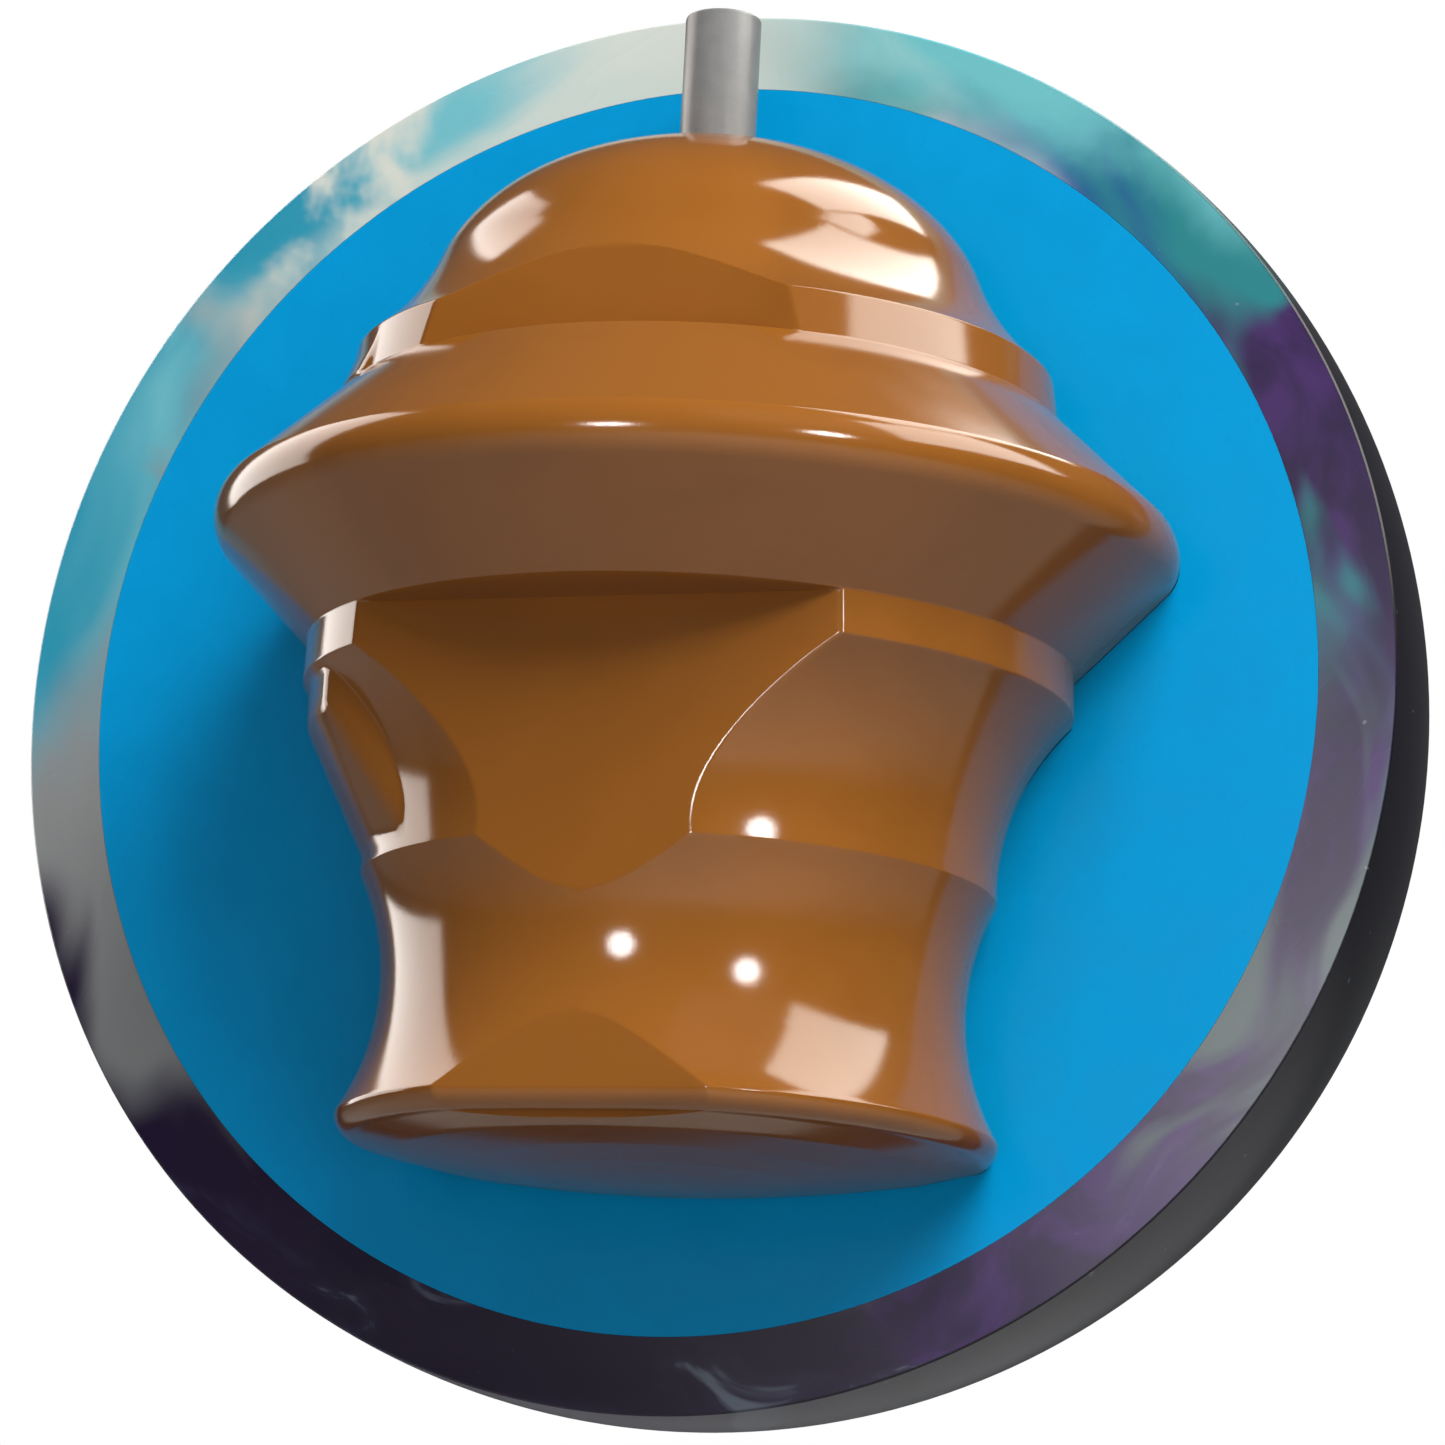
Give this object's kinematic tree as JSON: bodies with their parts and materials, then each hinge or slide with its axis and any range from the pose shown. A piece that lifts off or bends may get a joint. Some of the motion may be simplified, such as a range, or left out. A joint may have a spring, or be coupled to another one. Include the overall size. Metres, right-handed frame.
{
  "type": "sectioned bowling ball",
  "caption": "Bowling ball cut open: rear part of the marbled coverstock and filler, and the whole asymmetric weight block with its pin, which stands proud of the cut.",
  "frame": {"origin": "centre of the ball, which is also the centre of the ring or cup that holds it", "axes": "+Z along the pin and the weight block, towards the pin; -Y out of the flat cut face; +X to the right seen from the cut side"},
  "size_m": [0.217, 0.2117, 0.217],
  "materials": {
    "coverstock": "polished reactive urethane, marbled mint, teal and purple",
    "filler": "satin cast resin, bright blue",
    "weight_block": "glossy cast resin, brown orange",
    "pin": "satin grey resin"
  },
  "bodies": {
    "root": {"coverstock": "coverstock", "filler": "filler", "weight_block": "weight_block", "pin": "pin"}
  },
  "joints": []
}
